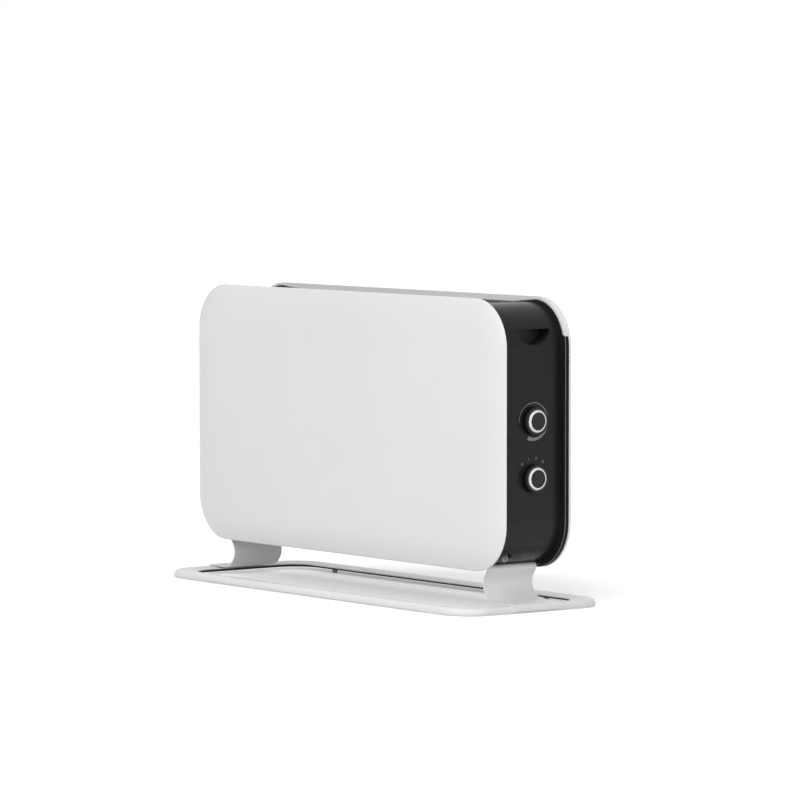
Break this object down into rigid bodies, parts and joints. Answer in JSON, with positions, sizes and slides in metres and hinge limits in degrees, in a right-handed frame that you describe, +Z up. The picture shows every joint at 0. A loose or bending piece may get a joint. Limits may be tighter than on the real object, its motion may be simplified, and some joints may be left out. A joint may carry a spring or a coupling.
{
  "type": "convector heater",
  "caption": "Free-standing electric convector heater with two rounded steel panels, moulded end caps, side rotary controls and a looped base on bent strip legs.",
  "frame": {"origin": "on the floor, under the middle of the heater", "axes": "+X along the panels toward the end with the controls, +Y from the front panel to the rear panel, +Z up"},
  "size_m": [0.6, 0.208, 0.352],
  "materials": {
    "white_steel": "satin white powder coat",
    "black_steel": "matte black powder coat",
    "zinc_steel": "zinc plated",
    "black_plastic": "semi-gloss black moulding",
    "white_plastic": "satin white moulding",
    "knob_plastic": "fine matte black",
    "switch_plastic": "moulded dark grey",
    "bright_steel": "bright steel",
    "element_aluminium": "extruded, plain",
    "ceramic": "unglazed",
    "rubber": "matte"
  },
  "bodies": {
    "heater": {"front_panel": "white_steel", "rear_panel": "white_steel", "rear_frame": "black_plastic", "top_trim": "white_plastic", "top_grille": "black_steel", "bottom_grille": "zinc_steel", "right_end_cap": "black_plastic", "left_end_cap": "black_plastic", "control_fascia": "black_plastic", "thermostat": "switch_plastic", "power_selector": "switch_plastic", "lower_element_fins": "element_aluminium", "upper_element_fins": "element_aluminium", "element_rods": "bright_steel", "element_insulators": "ceramic", "right_element_bracket": "zinc_steel", "left_element_bracket": "zinc_steel", "front_heat_shield": "zinc_steel", "rear_heat_shield": "zinc_steel", "thermal_cutout": "switch_plastic", "cross_ties": "zinc_steel", "terminal_block": "ceramic", "tilt_switch": "switch_plastic", "cord_gland": "rubber", "cap_screws": "bright_steel", "right_leg": "white_steel", "left_leg": "white_steel", "base_ring": "white_steel", "base_feet": "rubber", "leg_screws": "bright_steel"},
    "thermostat_dial": {"thermostat_knob": "knob_plastic", "thermostat_knob_ring": "white_plastic", "thermostat_knob_cap": "knob_plastic", "thermostat_shaft": "bright_steel"},
    "selector_dial": {"selector_knob": "knob_plastic", "selector_knob_ring": "white_plastic", "selector_knob_cap": "knob_plastic", "selector_shaft": "bright_steel"}
  },
  "joints": [
    {"name": "thermostat_turn", "type": "hinge", "parent": "heater", "child": "thermostat_dial", "pos_m": [0.29, 0, 0.2147], "axis": [-1, 0, 0], "range_deg": [0, 255]},
    {"name": "selector_turn", "type": "hinge", "parent": "heater", "child": "selector_dial", "pos_m": [0.29, 0, 0.1501], "axis": [-1, 0, 0], "range_deg": [0, 81]}
  ]
}
